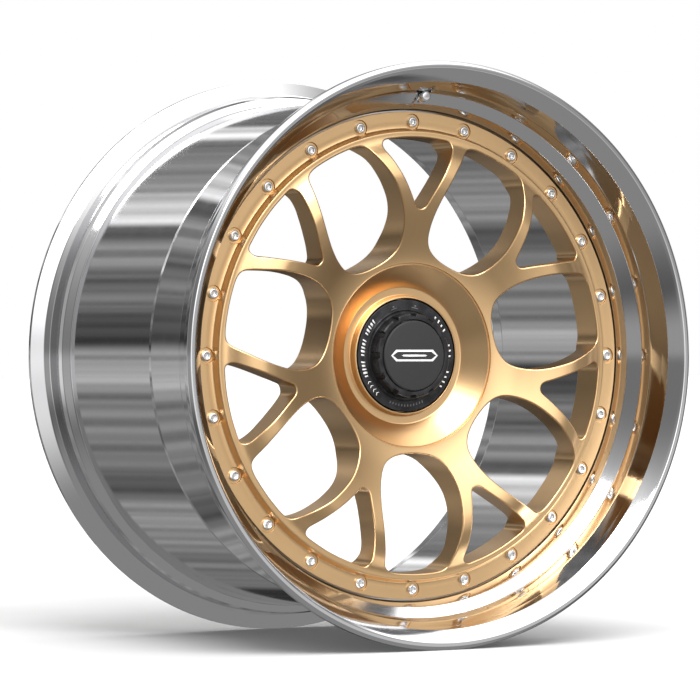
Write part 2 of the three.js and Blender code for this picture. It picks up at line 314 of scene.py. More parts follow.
def inside(loop, points):
    """Whether each point lies inside a closed loop, by counting how often a line from it
    along +across crosses the loop."""
    a, b = loop, np.roll(loop, -1, axis=0)
    px, py = points[:, :1], points[:, 1:]
    spans = (a[:, 1] > py) != (b[:, 1] > py)
    rise = np.where(np.abs(b[:, 1] - a[:, 1]) < 1e-12, 1e-12, b[:, 1] - a[:, 1])
    crossing = a[:, 0] + (py - a[:, 1]) / rise * (b[:, 0] - a[:, 0])
    return (np.sum(spans & (px < crossing), axis=1) % 2) == 1


def loop_edges(start, count):
    i = np.arange(count)
    return np.column_stack([start + i, start + (i + 1) % count])


def even_points(low, high, pitch):
    """Points of a triangular lattice of one pitch over a rectangle."""
    up = np.arange(low[1], high[1], pitch * math.sqrt(3) / 2)
    across = np.arange(low[0], high[0], pitch)
    grid = np.stack(np.meshgrid(across, up), -1)
    grid[1::2, :, 0] += pitch / 2
    return grid.reshape(-1, 2)


# ---- Finishes ------------------------------------------------------------


def finish_named(name, colour, metallic, roughness, **sockets):
    """A new material and its Principled shader, with constant values set on its sockets."""
    material = bpy.data.materials.new(name)
    material.use_nodes = True
    shader = material.node_tree.nodes["Principled BSDF"]
    shader.inputs["Base Color"].default_value = (*colour, 1)
    shader.inputs["Metallic"].default_value = metallic
    shader.inputs["Roughness"].default_value = roughness
    for socket, value in sockets.items():
        shader.inputs[socket.replace("_", " ")].default_value = value
    return material, shader


def node(material, kind, values=(), **settings):
    """A node with its settings and its input values given by name."""
    made = material.node_tree.nodes.new(kind)
    for key, value in settings.items():
        setattr(made, key, value)
    for socket, value in dict(values).items():
        made.inputs[socket].default_value = value
    return made


def wire(material, *pairs):
    for out, into in pairs:
        material.node_tree.links.new(out, into)


def noise(material, scale, detail=3.0, roughness=0.5, stretch=(1, 1, 1)):
    """Noise over Object coordinates, as cells of 1 / scale metres, stretched by axis."""
    where = node(material, "ShaderNodeTexCoord")
    mapping = node(material, "ShaderNodeMapping", {"Scale": stretch})
    made = node(material, "ShaderNodeTexNoise",
                {"Scale": scale, "Detail": detail, "Roughness": roughness})
    wire(material, (where.outputs["Object"], mapping.inputs["Vector"]),
         (mapping.outputs["Vector"], made.inputs["Vector"]))
    return made.outputs["Fac"]


def radial_distance(material):
    """Distance of a surface point from the wheel's axis, and its place along the axis."""
    where = node(material, "ShaderNodeTexCoord")
    parts = node(material, "ShaderNodeSeparateXYZ")
    squares = [node(material, "ShaderNodeMath", operation="MULTIPLY") for _ in range(2)]
    total = node(material, "ShaderNodeMath", operation="ADD")
    root = node(material, "ShaderNodeMath", operation="SQRT")
    wire(material, (where.outputs["Object"], parts.inputs[0]),
         (parts.outputs["X"], squares[0].inputs[0]), (parts.outputs["X"], squares[0].inputs[1]),
         (parts.outputs["Z"], squares[1].inputs[0]), (parts.outputs["Z"], squares[1].inputs[1]),
         (squares[0].outputs[0], total.inputs[0]), (squares[1].outputs[0], total.inputs[1]),
         (total.outputs[0], root.inputs[0]))
    return root.outputs[0], parts.outputs["Y"]


def spread(material, value, low, high, from_low=0.3, from_high=0.7):
    """value carried from one range to another, held at the ends."""
    made = node(material, "ShaderNodeMapRange", {"From Min": from_low, "From Max": from_high,
                                                 "To Min": low, "To Max": high})
    wire(material, (value, made.inputs["Value"]))
    return made.outputs["Result"]


def tint(material, value, first, second):
    """A colour between two, by value."""
    made = node(material, "ShaderNodeMix", data_type="RGBA")
    made.inputs["A"].default_value = (*first, 1)
    made.inputs["B"].default_value = (*second, 1)
    wire(material, (value, made.inputs["Factor"]))
    return made.outputs["Result"]


def relief(material, shader, height, strength, distance):
    """Bump of a height onto the shader, distance in metres."""
    made = node(material, "ShaderNodeBump", {"Strength": strength, "Distance": distance})
    wire(material, (height, made.inputs["Height"]), (made.outputs["Normal"],
                                                     shader.inputs["Normal"]))


def satin_gold(colour, roughness):
    """Gold over forged metal: a fine even satin grain, faintly uneven in tone."""
    material, shader = finish_named("satin_gold_coat", colour, 1.0, roughness)
    cloud = noise(material, 18, 4)
    grain = noise(material, 2600, 2)
    deeper = tuple(c * 0.95 for c in colour)
    wire(material,
         (tint(material, spread(material, cloud, 0, 1), colour, deeper),
          shader.inputs["Base Color"]),
         (spread(material, grain, roughness - 0.03, roughness + 0.03),
          shader.inputs["Roughness"]))
    relief(material, shader, grain, 0.12, 0.00004)
    return material


def polished_alloy(colour, roughness):
    """Mirror-polished alloy with faint turning lines, which are rings about the axis."""
    material, shader = finish_named("mirror_alloy", colour, 1.0, roughness)
    radius, along = radial_distance(material)
    both = node(material, "ShaderNodeCombineXYZ")
    wire(material, (radius, both.inputs["X"]), (along, both.inputs["Y"]))
    lines = node(material, "ShaderNodeTexNoise", {"Scale": 900, "Detail": 3, "Roughness": 0.6})
    wire(material, (both.outputs[0], lines.inputs["Vector"]))
    haze = noise(material, 26, 3)
    rough = node(material, "ShaderNodeMath", operation="ADD")
    wire(material,
         (spread(material, lines.outputs["Fac"], roughness * 0.7, roughness * 1.3),
          rough.inputs[0]),
         (spread(material, haze, 0.0, 0.02), rough.inputs[1]),
         (rough.outputs[0], shader.inputs["Roughness"]))
    relief(material, shader, lines.outputs["Fac"], 0.05, 0.00002)
    return material


def plated(name, colour, roughness, grain_scale=900):
    """Bright plated or bare steel with a slight unevenness of shine."""
    material, shader = finish_named(name, colour, 1.0, roughness)
    grain = noise(material, grain_scale, 3)
    wire(material, (spread(material, grain, roughness * 0.75, roughness * 1.35),
                    shader.inputs["Roughness"]))
    relief(material, shader, grain, 0.08, 0.00003)
    return material


def dark_coating(name, colour, lighter, metallic, roughness, scale, contrast):
    """Anodised or moulded black with mottled shine: glossy where handling has rubbed it."""
    material, shader = finish_named(name, colour, metallic, roughness)
    mottle = noise(material, scale, 5, 0.6)
    fine = noise(material, scale * 9, 2)
    wire(material,
         (tint(material, spread(material, mottle, 0, 1, 0.4, 0.68), colour, lighter),
          shader.inputs["Base Color"]),
         (spread(material, mottle, roughness + contrast, roughness - contrast),
          shader.inputs["Roughness"]))
    relief(material, shader, fine, 0.15, 0.00005)
    return material


def matte(name, colour, roughness, scale, strength=0.2):
    """A dull plain surface, such as rubber, sealant, paint or moulded plastic."""
    material, shader = finish_named(name, colour, 0.0, roughness, Specular_IOR_Level=0.35)
    grain = noise(material, scale, 3)
    darker = tuple(c * 0.86 for c in colour)
    wire(material, (tint(material, spread(material, grain, 0, 1), darker, colour),
                    shader.inputs["Base Color"]),
         (spread(material, grain, roughness - 0.05, roughness + 0.05),
          shader.inputs["Roughness"]))
    relief(material, shader, grain, strength, 0.00005)
    return material


def kept(name, make):
    """The finish of that name, made the first time it is asked for."""
    return bpy.data.materials.get(name) or make()


def steel():
    return kept("bright_steel", lambda: plated("bright_steel", (0.86, 0.86, 0.86), 0.16))


def dark_steel():
    return kept("blackened_steel", lambda: plated("blackened_steel", (0.10, 0.10, 0.105), 0.36, 500))


def spring_steel():
    return kept("tempered_steel", lambda: plated("tempered_steel", (0.32, 0.32, 0.34), 0.3, 700))


def chrome():
    return kept("bright_chrome", lambda: plated("bright_chrome", (0.9, 0.9, 0.9), 0.06, 300))


def rubber():
    return kept("black_rubber", lambda: matte("black_rubber", (0.012, 0.012, 0.012), 0.75, 900))


def polished():
    rim = bpy.context.scene.wheel_rim
    return kept("mirror_alloy", lambda: polished_alloy(tuple(rim.colour), rim.roughness))


# ---- Settings ------------------------------------------------------------


class CentreSettings(bpy.types.PropertyGroup):
    """Sizes and finish of the forged centre."""

    colour: FloatVectorProperty(name="Gold", description="Colour of the satin gold",
                                default=(0.78, 0.515, 0.265), size=3, subtype="COLOR")
    roughness: FloatProperty(name="Satin", description="Roughness of the gold",
                             default=0.32, min=0, max=1)
    edge: FloatProperty(name="Edge Radius", description="Rounding of the window edges",
                        default=1.7 * MM, unit="LENGTH")
    back_edge: FloatProperty(name="Back Edge", description="Rounding of the inboard edges",
                             default=1.0 * MM, unit="LENGTH")
    mesh_pitch: FloatProperty(name="Face Pitch", description="Spacing of points on the spokes",
                              default=2.8 * MM, unit="LENGTH")
    recess: FloatProperty(name="Bolt Recess", description="Radius of the bolts' recesses",
                          default=7.4 * MM, unit="LENGTH")
    recess_depth: FloatProperty(name="Recess Depth", description="Depth of the recesses",
                                default=1.5 * MM, unit="LENGTH")


class RimSettings(bpy.types.PropertyGroup):
    """Finish of the polished lip and barrel."""

    colour: FloatVectorProperty(name="Alloy", description="Colour of the polished alloy",
                                default=(0.72, 0.72, 0.73), size=3, subtype="COLOR")
    roughness: FloatProperty(name="Polish", description="Roughness of the polished alloy",
                             default=0.07, min=0, max=1)
    segments: IntProperty(name="Segments", description="Steps round each rim half",
                          default=480, min=48)


class FastenerSettings(bpy.types.PropertyGroup):
    """Sizes of the assembly bolts and their nuts."""

    circle: FloatProperty(name="Bolt Circle", description="Radius of the bolt circle",
                          default=218.4 * MM, unit="LENGTH")
    head: FloatProperty(name="Head", description="Radius of a bolt's head",
                        default=4.85 * MM, unit="LENGTH")
    socket: FloatProperty(name="Socket", description="Corner radius of the hexagon socket",
                          default=2.6 * MM, unit="LENGTH")
    shank: FloatProperty(name="Shank", description="Radius of a bolt's shank",
                         default=3.4 * MM, unit="LENGTH")


class LockSettings(bpy.types.PropertyGroup):
    """Colours of the centre lock."""

    black: FloatVectorProperty(name="Black", description="Colour of the anodised nut",
                               default=(0.016, 0.016, 0.018), size=3, subtype="COLOR")
    cap: FloatVectorProperty(name="Cap", description="Colour of the centre cap",
                             default=(0.028, 0.028, 0.028), size=3, subtype="COLOR")
    ink: FloatVectorProperty(name="Marks", description="Colour of the printed marks",
                             default=(0.86, 0.86, 0.86), size=3, subtype="COLOR")


class StudioSettings(bpy.types.PropertyGroup):
    """Camera, floor and light."""

    focal: FloatProperty(name="Focal Length", description="Focal length in millimetres",
                         default=199.5, min=10)
    key: FloatProperty(name="Key", description="Strength of the overhead light",
                       default=2.2, min=0)
    floor: FloatVectorProperty(name="Floor", description="Colour of the floor",
                               default=(0.82, 0.82, 0.82), size=3, subtype="COLOR")


# ---- Wheel centre --------------------------------------------------------

# Depth of the spokes' outboard and inboard faces over radius.
OUTBOARD = [(85.0, 0.3), (90.0, -0.4), (97.0, -1.8), (108.0, -4.9), (120.0, -9.6),
            (134.0, -14.8), (150.0, -19.1), (160.0, -20.9), (168.0, -21.4), (176.0, -20.2),
            (184.0, -17.9), (191.0, -14.6), (197.0, -11.0), (202.0, -8.6), (205.0, -8.1),
            (210.0, -8.0)]
INBOARD = [(80.0, 47.0), (93.0, 47.0), (98.0, 45.8), (108.0, 40.5), (121.0, 28.5),
           (134.0, 17.5), (148.0, 10.0), (160.0, 7.4), (174.0, 6.6), (184.0, 7.6),
           (191.0, 12.0), (197.0, 20.5), (201.0, 25.6), (204.0, 27.0), (210.0, 27.0)]
INNER_RADIUS = 88.0
OUTER_RADIUS = 206.2
BACK_RADIUS = 205.4
INNER_STEPS = 64
OUTER_STEPS = 120
POCKET_SIDES = 48
BORE_SIDES = 72
COIL_STEPS = 72         # along one turn of a coil
WIRE_SIDES = 14
CLEAR_OF_EDGE = 0.55    # least distance of a fill point from an outline, in pitches
WIDE_WINDOW = [(0, 92), (17.7, 93.8), (30.4, 100.3), (38.4, 113.4), (42.3, 128.4),
               (43.1, 145), (41.9, 163), (39.2, 178), (36.4, 190.3), (33.4, 197.4),
               (27.2, 201.2), (14, 203.1)]
WIDE_END = (0, 203.6)
FORK_WINDOW = [(0, 137), (3.9, 138.2), (8.0, 144.4), (16.2, 158.6), (25.0, 173),
               (33.7, 187), (37.2, 194.3), (35.3, 199.4), (28.6, 201.4), (14, 203.1)]
FORK_END = (0, 203.6)


def window(half, end, count):
    """A window's outline at twelve o'clock, as a closed spline through one side's points and
    their mirror images, starting at its hub end, and the directions that point into it."""
    side = np.array(half, float)
    other = side[1:][::-1] * (-1, 1)
    outline = closed_spline(np.vstack([side, [end], other]), count)
    ahead = np.roll(outline, -1, axis=0) - np.roll(outline, 1, axis=0)
    ahead /= np.linalg.norm(ahead, axis=1)[:, None]
    into = np.column_stack([-ahead[:, 1], ahead[:, 0]])
    middle = outline.mean(0)
    into *= np.sign(np.sum(into * (middle - outline), axis=1))[:, None]
    return outline, into


def face_direction(plane, slope, side):
    """Outward direction of a face whose depth depends on radius alone: side is -1 on the
    outboard face and 1 on the inboard one."""
    r = np.linalg.norm(plane, axis=1)
    n = np.column_stack([-slope * plane[:, 0] / r, np.ones(len(r)), -slope * plane[:, 1] / r])
    return side * n / np.linalg.norm(n, axis=1)[:, None]


def window_wall(outline, into, edge, back_edge, angle):
    """The rounded edges and straight wall of one window.

    At angle t of an edge of radius q the surface stands q (1 - sin t) outside the outline and
    q (1 - cos t) below the face, and its direction turns from the face's to the window's.
    """
    flat, turned_in = turned_by(outline, angle), turned_by(into, angle)
    hollow = np.column_stack([turned_in[:, 0], np.zeros(len(flat)), turned_in[:, 1]])
    rows, directions = [], []
    for t in np.linspace(0, math.pi / 2, 6):
        plane = flat - turned_in * edge * (1 - math.sin(t))
        depth, slope = height_curve(OUTBOARD, np.linalg.norm(plane, axis=1))
        rows.append(in_space(plane, depth + edge * (1 - math.cos(t))))
        directions.append(math.cos(t) * face_direction(plane, slope, -1) + math.sin(t) * hollow)
    for t in np.linspace(math.pi / 2, 0, 4):
        plane = flat - turned_in * back_edge * (1 - math.sin(t))
        depth, slope = height_curve(INBOARD, np.linalg.norm(plane, axis=1))
        rows.append(in_space(plane, depth - back_edge * (1 - math.cos(t))))
        directions.append(math.cos(t) * face_direction(plane, slope, 1) + math.sin(t) * hollow)
    faces = grid_faces(len(rows), len(flat))
    return np.concatenate(rows), faces, np.concatenate(directions)


def spoke_face(wide, fork, inset, outer, outer_steps, knots, side, pitch):
    """One seventh of a face: the sector round a fork, between the middles of two wide
    windows, filled with triangles and lifted to the face's depth."""
    half = math.pi / SPOKES
    wide_line = wide[0] - wide[1] * inset
    fork_line = fork[0] - fork[1] * inset
    middle = len(wide_line) // 2
    right = turned_by(wide_line[middle:], half)
    left = turned_by(wide_line[: middle + 1], -half)
    right = np.vstack([turned_by(wide_line[:1], half), right[::-1]])
    left = left[::-1]
    a = np.linspace(-half, half, INNER_STEPS + 1)
    inner = INNER_RADIUS * np.column_stack([np.sin(a), np.cos(a)])
    b = np.linspace(half, -half, outer_steps + 1)
    rim = outer * np.column_stack([np.sin(b), np.cos(b)])
    loop = np.vstack([inner, right, rim, left])
    fill = even_points(loop.min(0), loop.max(0), pitch)
    fill = fill[inside(loop, fill) & ~inside(fork_line, fill)]
    border = np.vstack([loop, fork_line])
    near = np.min(np.linalg.norm(fill[:, None] - border[None], axis=2), axis=1)
    fill = fill[near > CLEAR_OF_EDGE * pitch]
    points = np.vstack([loop, fork_line, fill])
    edges = np.vstack([loop_edges(0, len(loop)), loop_edges(len(loop), len(fork_line))])
    faces = triangulated(points, edges)
    middles = points[faces].mean(1)
    faces = faces[inside(loop, middles) & ~inside(fork_line, middles)]
    parts = []
    for i in range(SPOKES):
        plane = turned_by(points, i * TURN / SPOKES)
        depth, slope = height_curve(knots, np.linalg.norm(plane, axis=1))
        parts.append((in_space(plane, depth), faces, face_direction(plane, slope, side)))
    return parts


def bore_through(piece, centre, radius, start, end):
    """Takes a straight round hole along the axis out of a piece."""
    a = np.arange(BORE_SIDES) * TURN / BORE_SIDES
    circle = np.array(centre) + radius * np.column_stack([np.sin(a), np.cos(a)])
    points = np.concatenate([in_space(circle, start), in_space(circle, end)])
    mesh = bpy.data.meshes.new("cutter")
    sides = [(int(q), int(t), int(w)) for q, t, w in grid_faces(2, len(a))]
    mesh.from_pydata(points, [], sides + [tuple(range(len(a))),
                                          tuple(range(2 * len(a) - 1, len(a) - 1, -1))])
    cutter = bpy.data.objects.new("cutter", mesh)
    bpy.context.scene.collection.objects.link(cutter)
    work = bmesh.new()
    work.from_mesh(mesh)
    bmesh.ops.recalc_face_normals(work, faces=work.faces)
    work.to_mesh(mesh)
    work.free()
    cut = piece.modifiers.new("bore", "BOOLEAN")
    cut.operation = "DIFFERENCE"
    cut.object = cutter
    bpy.context.view_layer.update()
    done = bpy.data.meshes.new_from_object(
        piece.evaluated_get(bpy.context.evaluated_depsgraph_get()))
    piece.modifiers.remove(cut)
    piece.data = done
    bpy.data.objects.remove(cutter)


def open_ring(section, start, end, segments):
    """A section with rounded corners turned about the axis, without the side that would join
    its last point to its first; start and end are the directions at those two points."""
    points, outward = corner_arcs(section)
    first = np.argmin(np.linalg.norm(points - section[0][:2], axis=1))
    points, outward = np.roll(points, -first, axis=0), np.roll(outward, -first, axis=0)
    if np.linalg.norm(points[1] - section[1][:2]) > np.linalg.norm(points[-1] - section[1][:2]):
        points = np.vstack([points[:1], points[1:][::-1]])
        outward = np.vstack([outward[:1], outward[1:][::-1]])
    outward[0], outward[-1] = start, end
    return ring_of(points, outward, np.arange(segments) * TURN / segments, closed=False)


def bolt_ledge(radius, recess, depth):
    """The ring's front edge, its wall and the bolt flange, with a round recess at each bolt.

    The plain ledge is a curve of depth over radius. A recess is a plateau at its own depth
    whose rim is a rounded step of the distance from the bolt; the deeper of the two shows.
    """
    plain = [(OUTER_RADIUS - 3, -8.0), (OUTER_RADIUS, -8.0), (208.7, -8.0), (209.1, -7.94),
             (209.5, -7.7), (209.8, -7.2), (210.1, -6.3), (210.7, -4.2), (211.3, -2.1),
             (211.6, -1.1), (211.9, -0.42), (212.3, -0.1), (212.8, 0.0), (220.0, 0.0),
             (229.0, 0.0)]

    def depth_at(plane):
        r = np.linalg.norm(plane, axis=1)
        ledge, _ = height_curve(plain, r)
        from_bolt = np.hypot(plane[:, 0], plane[:, 1] - radius)
        step = np.clip((recess + 0.35 - from_bolt) / 0.7, 0, 1)
        sunk = depth - (depth + 9.0) * np.clip((from_bolt - recess) / 0.9, 0, 1)
        low = np.maximum(ledge, np.where(from_bolt < recess + 0.35, sunk, -99))
        blend = step * step * (3 - 2 * step)
        return np.where(ledge > -0.2, ledge + (depth - ledge) * blend, low)

    half = math.pi / BOLTS
    steps = OUTER_STEPS * SPOKES // BOLTS
    a = np.linspace(-half, half, steps + 1)
    circles = [OUTER_RADIUS, 207.6, 208.7, 209.1, 209.5, 209.8, 210.1, 210.7, 211.3, 211.6,
               211.9, 212.3, 212.8, 214.5, 217, 220, 223, 225.5, 227.4]
    rings = np.concatenate([r * np.column_stack([np.sin(a), np.cos(a)]) for r in circles])
    b = np.arange(56) * TURN / 56
    round_bolt = [q * np.column_stack([np.sin(b), np.cos(b)]) + (0, radius)
                  for q in recess + np.array([-4.5, -2.4, -0.9, -0.36, -0.2, 0, 0.2, 0.36, 0.8])]
    spots = np.concatenate(round_bolt)
    r = np.linalg.norm(spots, axis=1)
    spots = spots[(r > 209.9) & (r < 227.0)]
    clear = np.hypot(rings[:, 0], rings[:, 1] - radius) > recess + 1.1
    r = np.linalg.norm(rings, axis=1)
    wall = (r > 209.0) & (r < 212.0) & (np.abs(rings[:, 0]) > 0.2)
    rings = rings[clear | (r < 209.9) | (wall & (np.hypot(rings[:, 0], rings[:, 1] - radius)
                                                > recess + 0.5))]
    points = np.vstack([rings, spots])
    inner = np.arange(steps)
    faces = triangulated(points, np.column_stack([inner, inner + 1]))
    faces = faces[np.linalg.norm(points[faces].mean(1), axis=1)
                  > OUTER_RADIUS * math.cos(half / steps) - 1e-6]
    tiny = 0.01
    place = depth_at(points)
    du = (depth_at(points + (tiny, 0)) - depth_at(points - (tiny, 0))) / (2 * tiny)
    dw = (depth_at(points + (0, tiny)) - depth_at(points - (0, tiny))) / (2 * tiny)
    parts = []
    for i in range(BOLTS):
        angle = i * TURN / BOLTS
        slope = turned_by(np.column_stack([du, dw]), angle)
        n = np.column_stack([slope[:, 0], -np.ones(len(slope)), slope[:, 1]])
        n /= np.linalg.norm(n, axis=1)[:, None]
        parts.append((in_space(turned_by(points, angle), place), faces, n))
    return parts


def hub_pad(bore, hole, edge):
    """The flat hub face between the bore and the spokes, with the drive pins' pockets."""
    a = np.arange(INNER_STEPS * SPOKES) * TURN / (INNER_STEPS * SPOKES)
    circle = np.column_stack([np.sin(a), np.cos(a)])
    b = np.arange(POCKET_SIDES) * TURN / POCKET_SIDES
    small = np.column_stack([np.sin(b), np.cos(b)])
    centres = [turned_by(np.array([[0.0, DRIVE_PIN_CIRCLE]]), i * TURN / DRIVE_PINS)
               for i in range(DRIVE_PINS)]
    loops = [INNER_RADIUS * circle, bore * circle] + [c + (hole + edge) * small for c in centres]
    points = np.vstack(loops)
    starts = np.cumsum([0] + [len(x) for x in loops[:-1]])
    edges = np.vstack([loop_edges(s, len(x)) for s, x in zip(starts, loops)])
    faces = triangulated(points, edges)
    middles = points[faces].mean(1)
    keep = inside(loops[0], middles)
    for loop in loops[1:]:
        keep &= ~inside(loop, middles)
    up = np.tile([0.0, 1.0, 0.0], (len(points), 1))
    parts = [(in_space(points, HUB_FACE_DEPTH), faces[keep], up)]
    for c in centres:
        rows, directions = [], []
        for t in np.linspace(0, math.pi / 2, 4):
            rows.append(in_space(c + (hole + edge * (1 - math.sin(t))) * small,
                                 HUB_FACE_DEPTH - edge * (1 - math.cos(t))))
            directions.append(np.column_stack([-small[:, 0] * math.sin(t),
                                               np.full(len(small), math.cos(t)),
                                               -small[:, 1] * math.sin(t)]))
        for r, n in ((hole, 0), (hole - 0.5, 1), (0.0, 1)):
            rows.append(in_space(c + r * small, HUB_FACE_DEPTH - DRIVE_POCKET_DEPTH))
            side = np.column_stack([-small[:, 0], np.zeros(len(small)), -small[:, 1]])
            directions.append(np.tile([0.0, 1.0, 0.0], (len(small), 1)) if n else side)
        parts.append((np.concatenate(rows), grid_faces(len(rows), len(small)),
                      np.concatenate(directions)))
    return parts


class WHEEL_OT_centre(bpy.types.Operator):
    """Builds the forged centre: seven forked spokes between a dished hub and a bolt ring"""

    bl_idname = "wheel.centre"
    bl_label = "Wheel Centre"

    def execute(self, context):
        s = context.scene.wheel_centre
        edge, back_edge = s.edge / MM, s.back_edge / MM
        wide = window(WIDE_WINDOW, WIDE_END, 240)
        fork = window(FORK_WINDOW, FORK_END, 150)
        parts = spoke_face(wide, fork, edge, OUTER_RADIUS, OUTER_STEPS, OUTBOARD, -1,
                           s.mesh_pitch / MM)
        parts += spoke_face(wide, fork, back_edge, BACK_RADIUS, OUTER_STEPS, INBOARD, 1,
                            s.mesh_pitch / MM)
        for i in range(SPOKES):
            pitch = TURN / SPOKES
            parts.append(window_wall(*wide, edge, back_edge, (i + 0.5) * pitch))
            parts.append(window_wall(*fork, edge, back_edge, i * pitch))
        inner_depth, inner_slope = height_curve(OUTBOARD, np.array([INNER_RADIUS]))
        direction = np.array([inner_slope[0], -1]) / math.hypot(inner_slope[0], 1)
        hub = [(INNER_RADIUS, inner_depth[0], 0), (86.7, 0.0, 0.35), (86.3, 1.7, 0.3),
               (85.5, 1.7, 0.3), (85.1, 1.0, 0.5), (64.2, 18.2, 2.2), (56.6, 18.4, 1.2),
               (55.4, 11.2, 0.7), (53.8, 11.0, 0.5), (53.6, 26.5, 0.5), (52.0, 26.5, 0.5),
               (42.5, 36.0, 0.8), (42.5, HUB_FACE_DEPTH, 0.8), (44.0, HUB_FACE_DEPTH, 0)]
        parts.append(open_ring(hub, direction, (0, 1), INNER_STEPS * SPOKES))
        parts += hub_pad(44.0, 10.0, 0.6)
        parts += bolt_ledge(context.scene.wheel_fasteners.circle / MM, s.recess / MM,
                            s.recess_depth / MM)
        back = [(227.4, 0, 0), (228.0, 0, 0.5), (228.0, 8.0, 0.5), (207.4, 8.0, 0.4),
                (207.4, 27.0, 0.8), (BACK_RADIUS, 27.0, 0)]
        parts.append(open_ring(back, (0, -1), (0, 1), OUTER_STEPS * SPOKES))
        finish = kept("satin_gold_coat", lambda: satin_gold(tuple(s.colour), s.roughness))
        add_piece("forged_centre", joined(parts), finish, "wheel", ["wheel_centre"])
        return {"FINISHED"}


# ---- Rim halves ----------------------------------------------------------

LIP = [(208.2, 8.4, 0.4), (208.2, 13, 0.4), (234.2, 13, 1), (234.2, 3, 4), (245, -9, 5),
       (251, -11, 2), (254.6, -15, 3), (253.4, -22, 5), (253, -29, 5), (254.4, -46, 5),
       (258, -52, 3), (271.3, -57, 0.8), (271.3, -62.6, 1.6), (268.6, -65.4, 2.2),
       (264.6, -65.4, 2), (262.2, -63.4, 0.6), (253, -54, 1), (250.9, -46.5, 1.5),
       (246.6, -34, 16), (244.8, -21, 3), (234.2, -12, 3), (229.6, 0, 0.5),
       (229.6, 8.4, 0.3)]
BARREL = [(208.2, 13.4, 0.4), (229.4, 13.4, 0.6), (229.4, 24, 1.6), (240.6, 66, 1.2),
          (239.8, 72, 1.6), (246, 222, 2.5), (253, 226.5, 2.5), (255, 231, 2.5),
          (253, 238, 6), (254.4, 250, 4), (258, 255, 3), (271.3, 259, 0.8),
          (271.3, 262.2, 1), (269.6, 264, 1), (263, 264, 2), (251, 255, 5), (249, 231, 4),
          (242.4, 225, 5), (236, 70, 4), (226.6, 28, 4), (226.2, 18.4, 0.6),
          (208.2, 18.4, 0.4)]


class WHEEL_OT_outer_lip(bpy.types.Operator):
    """Builds the polished outer lip: stepped inside, with a bead seat and a rolled flange"""

    bl_idname = "wheel.outer_lip"
    bl_label = "Outer Lip"

    def execute(self, context):
        steps = context.scene.wheel_rim.segments
        lip = add_piece("lip", turned_surface(LIP, steps, 9), polished(), "wheel",
                        ["outer_lip"], 24)
        for end, start, radius in ((-70, -15, 6.6), (-10, 60, 7.2), (-70, 60, 4.6)):
            bore_through(lip, (0, 241.4), radius, end, start)
        return {"FINISHED"}


class WHEEL_OT_inner_barrel(bpy.types.Operator):
    """Builds the polished inner barrel: cone, long well, bead seat and inner flange"""

    bl_idname = "wheel.inner_barrel"
    bl_label = "Inner Barrel"

    def execute(self, context):
        steps = context.scene.wheel_rim.segments
        add_piece("barrel", turned_surface(BARREL, steps, 9), polished(), "wheel",
                  ["inner_barrel"])
        return {"FINISHED"}


class WHEEL_OT_joint_seal(bpy.types.Operator):
    """Builds the bead of sealant in the corner between the two rim halves"""

    bl_idname = "wheel.joint_seal"
    bl_label = "Joint Seal"

    def execute(self, context):
        bead = [(229.8, 13.4, 0.2), (234.0, 13.4, 0.6), (231.4, 17.0, 2.0), (229.8, 21.0, 0.4)]
        finish = matte("smoothed_sealant", (0.27, 0.275, 0.28), 0.6, 300, 0.4)
        add_piece("sealant_bead", turned_surface(bead, 360), finish, "wheel", ["joint_seal"])
        return {"FINISHED"}


# ---- Fasteners -----------------------------------------------------------


class WHEEL_OT_fasteners(bpy.types.Operator):
    """Builds the assembly bolts in their recesses and the nuts behind the barrel's flange"""

    bl_idname = "wheel.fasteners"
    bl_label = "Assembly Bolts and Nuts"

    def execute(self, context):
        s = context.scene.wheel_fasteners
        head, socket, shank = s.head / MM, s.socket / MM, s.shank / MM
        bolt = [(0, 0.5, 0), (socket, 0.5, 0.1), (socket, -1.5, 0.12), (socket + 0.4, -1.8, 0.2),
                (head - 0.9, -1.75, 0.5), (head, -1.0, 0.4), (head, 1.25, 0.2),
                (shank, 1.25, 0.1), (shank, 24.4, 0.3), (shank - 0.6, 25.0, 0.2), (0, 25.0, 0)]

        def hexagon_socket(r, y, a):
            in_socket = (r < socket + 0.05) & (y < 1.0) & (r > 0.1)
            return np.where(in_socket, r * flats(a, 6), r), y

        nut = [(shank + 0.15, 18.75, 0.1), (6.6, 18.75, 0.2), (6.6, 19.6, 0.2),
               (5.5, 19.9, 0.1), (5.5, 24.0, 0.5), (4.4, 24.4, 0.3), (shank + 0.15, 24.4, 0.3)]

        def hexagon_nut(r, y, a):
            return np.where((r > 5.0) & (y > 19.8), r * flats(a, 6) * 1.04, r), y

        for i in range(BOLTS):
            angle = i * TURN / BOLTS
            centre = (s.circle / MM * math.sin(angle), s.circle / MM * math.cos(angle))
            number = f"{i + 1:02d}"
            add_piece(f"bolt_{number}", small_turned(bolt, 36, centre, hexagon_socket),
                      steel(), "wheel", [f"assembly_bolt_{number}"], 32)
            add_piece(f"flange_nut_{number}", small_turned(nut, 36, centre, hexagon_nut),
                      steel(), "wheel", (), 32)
        return {"FINISHED"}


class WHEEL_OT_drive_bushes(bpy.types.Operator):
    """Builds the steel bushes of the five drive pins in the hub face"""

    bl_idname = "wheel.drive_bushes"
    bl_label = "Drive Bushes"

    def execute(self, context):
        bush = [(7.1, 30.4, 0.3), (9.2, 30.4, 0.3), (9.2, 46.8, 0.4), (7.1, 46.8, 0.9)]
        for i in range(DRIVE_PINS):
            angle = i * TURN / DRIVE_PINS
            centre = (65 * math.sin(angle), 65 * math.cos(angle))
            add_piece(f"pin_bush_{i + 1}", small_turned(bush, 48, centre), dark_steel(),
                      "wheel", [f"drive_bush_{i + 1}"], 35)
        return {"FINISHED"}


# ---- Centre lock ---------------------------------------------------------


